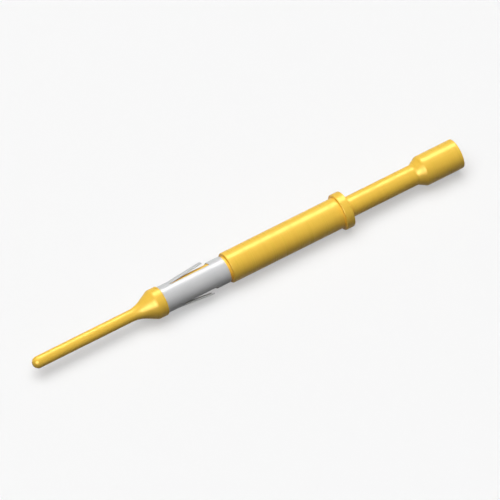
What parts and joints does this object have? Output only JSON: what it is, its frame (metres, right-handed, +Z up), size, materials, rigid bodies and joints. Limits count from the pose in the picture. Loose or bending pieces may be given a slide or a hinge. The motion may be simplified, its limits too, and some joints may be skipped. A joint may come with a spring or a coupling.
{
  "type": "signal contact pin",
  "caption": "Slim gold-plated turned crimp contact with a round-tipped mating pin, a sprung steel retention clip in a groove, a collared barrel, a narrow neck and a crimp barrel for the wire.",
  "frame": {"origin": "on the contact's axis, at the front face of the collar", "axes": "+X along the axis towards the wire end, so the mating tip points to -X; +Z up"},
  "size_m": [0.0394, 0.003, 0.003],
  "materials": {
    "gold_plating": "satin gold plating over a turned copper alloy",
    "spring_steel": "bright rolled stainless strip"
  },
  "bodies": {
    "root": {"contact_body": "gold_plating", "retention_clip": "spring_steel"}
  },
  "joints": []
}
